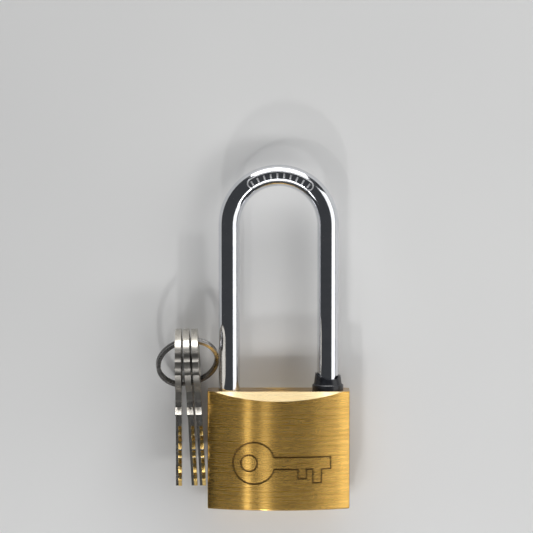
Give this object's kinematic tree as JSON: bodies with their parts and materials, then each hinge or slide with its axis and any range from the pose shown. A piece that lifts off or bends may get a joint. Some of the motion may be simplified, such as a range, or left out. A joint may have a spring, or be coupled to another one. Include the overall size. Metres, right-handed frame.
{
  "type": "long-shackle padlock",
  "caption": "Brass padlock with convex faces and a long round chrome shackle, a black collar on the short leg, and flat keys on a split ring.",
  "frame": {"origin": "on the crest line of the convex back, at the plane of the keyway face, on the lock's centre plane; the back rests on z = 0", "axes": "+X across the body towards the short leg, +Y along the shackle from the keyway face to the arch, +Z out of the engraved front"},
  "size_m": [0.0546, 0.0969, 0.0208],
  "materials": {
    "body_brass": "fine horizontal brushing, clear lacquer",
    "shackle_chrome": "polished chrome plate",
    "collar_plastic": "black moulded plastic, slightly glossy",
    "key_nickel": "nickel plate over brass, cut edges bare brass",
    "ring_steel": "dark spring steel",
    "plug_brass": "turned brass",
    "pin_brass": "turned brass",
    "driver_steel": "turned steel",
    "bolt_steel": "turned steel, plain",
    "spring_steel": "drawn spring wire"
  },
  "bodies": {
    "lock": {"lock_body": "body_brass", "toe_collar": "collar_plastic", "heel_retaining_pin": "bolt_steel", "cross_bore_plug": "plug_brass", "plug_retaining_ring": "spring_steel", "chamber_plugs": "plug_brass", "shackle_spring": "spring_steel", "pin_spring_1": "spring_steel", "pin_spring_2": "spring_steel", "pin_spring_3": "spring_steel", "pin_spring_4": "spring_steel", "pin_spring_5": "spring_steel"},
    "plug": {"plug": "plug_brass", "plug_cam": "bolt_steel", "cam_screw": "bolt_steel"},
    "shackle": {"shackle": "shackle_chrome"},
    "toe_bolt": {"toe_bolt": "bolt_steel"},
    "heel_bolt": {"heel_bolt": "bolt_steel"},
    "ring": {"split_ring": "ring_steel"},
    "driver_1": {"driver_pin_1": "driver_steel"},
    "key_pin_1": {"key_pin_1": "pin_brass"},
    "driver_2": {"driver_pin_2": "driver_steel"},
    "key_pin_2": {"key_pin_2": "pin_brass"},
    "driver_3": {"driver_pin_3": "driver_steel"},
    "key_pin_3": {"key_pin_3": "pin_brass"},
    "driver_4": {"driver_pin_4": "driver_steel"},
    "key_pin_4": {"key_pin_4": "pin_brass"},
    "driver_5": {"driver_pin_5": "driver_steel"},
    "key_pin_5": {"key_pin_5": "pin_brass"},
    "key_1": {"key_1": "key_nickel"},
    "key_2": {"key_2": "key_nickel"},
    "key_3": {"key_3": "key_nickel"}
  },
  "joints": [
    {"name": "plug_turn", "type": "hinge", "parent": "lock", "child": "plug", "pos_m": [0, 0, 0.0079], "axis": [0, 1, 0], "range_deg": [0, 90]},
    {"name": "toe_bolt_slide", "type": "slide", "parent": "lock", "child": "toe_bolt", "axis": [-1, 0, 0], "range_m": [0, 0.00396]},
    {"name": "heel_bolt_slide", "type": "slide", "parent": "lock", "child": "heel_bolt", "axis": [1, 0, 0], "range_m": [0, 0.00396]},
    {"name": "shackle_lift", "type": "slide", "parent": "lock", "child": "shackle", "axis": [0, 1, 0], "range_m": [0, 0.0144], "deforming": ["shackle_spring"]},
    {"name": "driver_1_slide", "type": "slide", "parent": "lock", "child": "driver_1", "axis": [1, 0, 0], "range_m": [-0.00135, 0], "deforming": ["pin_spring_1"]},
    {"name": "driver_2_slide", "type": "slide", "parent": "lock", "child": "driver_2", "axis": [1, 0, 0], "range_m": [-0.00075, 0], "deforming": ["pin_spring_2"]},
    {"name": "driver_3_slide", "type": "slide", "parent": "lock", "child": "driver_3", "axis": [1, 0, 0], "range_m": [-0.00165, 0], "deforming": ["pin_spring_3"]},
    {"name": "driver_4_slide", "type": "slide", "parent": "lock", "child": "driver_4", "axis": [1, 0, 0], "range_m": [-0.00045, 0], "deforming": ["pin_spring_4"]},
    {"name": "driver_5_slide", "type": "slide", "parent": "lock", "child": "driver_5", "axis": [1, 0, 0], "range_m": [-0.00105, 0], "deforming": ["pin_spring_5"]},
    {"name": "key_pin_1_slide", "type": "slide", "parent": "plug", "child": "key_pin_1", "axis": [1, 0, 0], "range_m": [-0.00135, 0]},
    {"name": "key_pin_2_slide", "type": "slide", "parent": "plug", "child": "key_pin_2", "axis": [1, 0, 0], "range_m": [-0.00075, 0]},
    {"name": "key_pin_3_slide", "type": "slide", "parent": "plug", "child": "key_pin_3", "axis": [1, 0, 0], "range_m": [-0.00165, 0]},
    {"name": "key_pin_4_slide", "type": "slide", "parent": "plug", "child": "key_pin_4", "axis": [1, 0, 0], "range_m": [-0.00045, 0]},
    {"name": "key_pin_5_slide", "type": "slide", "parent": "plug", "child": "key_pin_5", "axis": [1, 0, 0], "range_m": [-0.00105, 0]},
    {"name": "ring_slide", "type": "slide", "parent": "lock", "child": "ring", "axis": [-1, 0, 0], "range_m": [0, 0.015]},
    {"name": "key_1_swing", "type": "hinge", "parent": "ring", "child": "key_1", "pos_m": [-0.0281, 0.0465, 0.0104], "axis": [-1, 0, 0], "range_deg": [0, 90]},
    {"name": "key_2_swing", "type": "hinge", "parent": "ring", "child": "key_2", "pos_m": [-0.02577, 0.04651, 0.0104], "axis": [-0.9986, -0.0523, 0], "range_deg": [0, 90]},
    {"name": "key_3_swing", "type": "hinge", "parent": "ring", "child": "key_3", "pos_m": [-0.02343, 0.04651, 0.0104], "axis": [-0.9986, -0.0523, 0], "range_deg": [0, 90]}
  ],
  "couplings": [
    {"joint": "plug_turn", "follows": "shackle_lift", "rad_per_m": 109.08},
    {"joint": "toe_bolt_slide", "follows": "shackle_lift", "ratio": 0.275},
    {"joint": "heel_bolt_slide", "follows": "shackle_lift", "ratio": 0.275},
    {"joint": "key_pin_1_slide", "follows": "driver_1_slide", "ratio": 1},
    {"joint": "key_pin_2_slide", "follows": "driver_2_slide", "ratio": 1},
    {"joint": "key_pin_3_slide", "follows": "driver_3_slide", "ratio": 1},
    {"joint": "key_pin_4_slide", "follows": "driver_4_slide", "ratio": 1},
    {"joint": "key_pin_5_slide", "follows": "driver_5_slide", "ratio": 1}
  ]
}
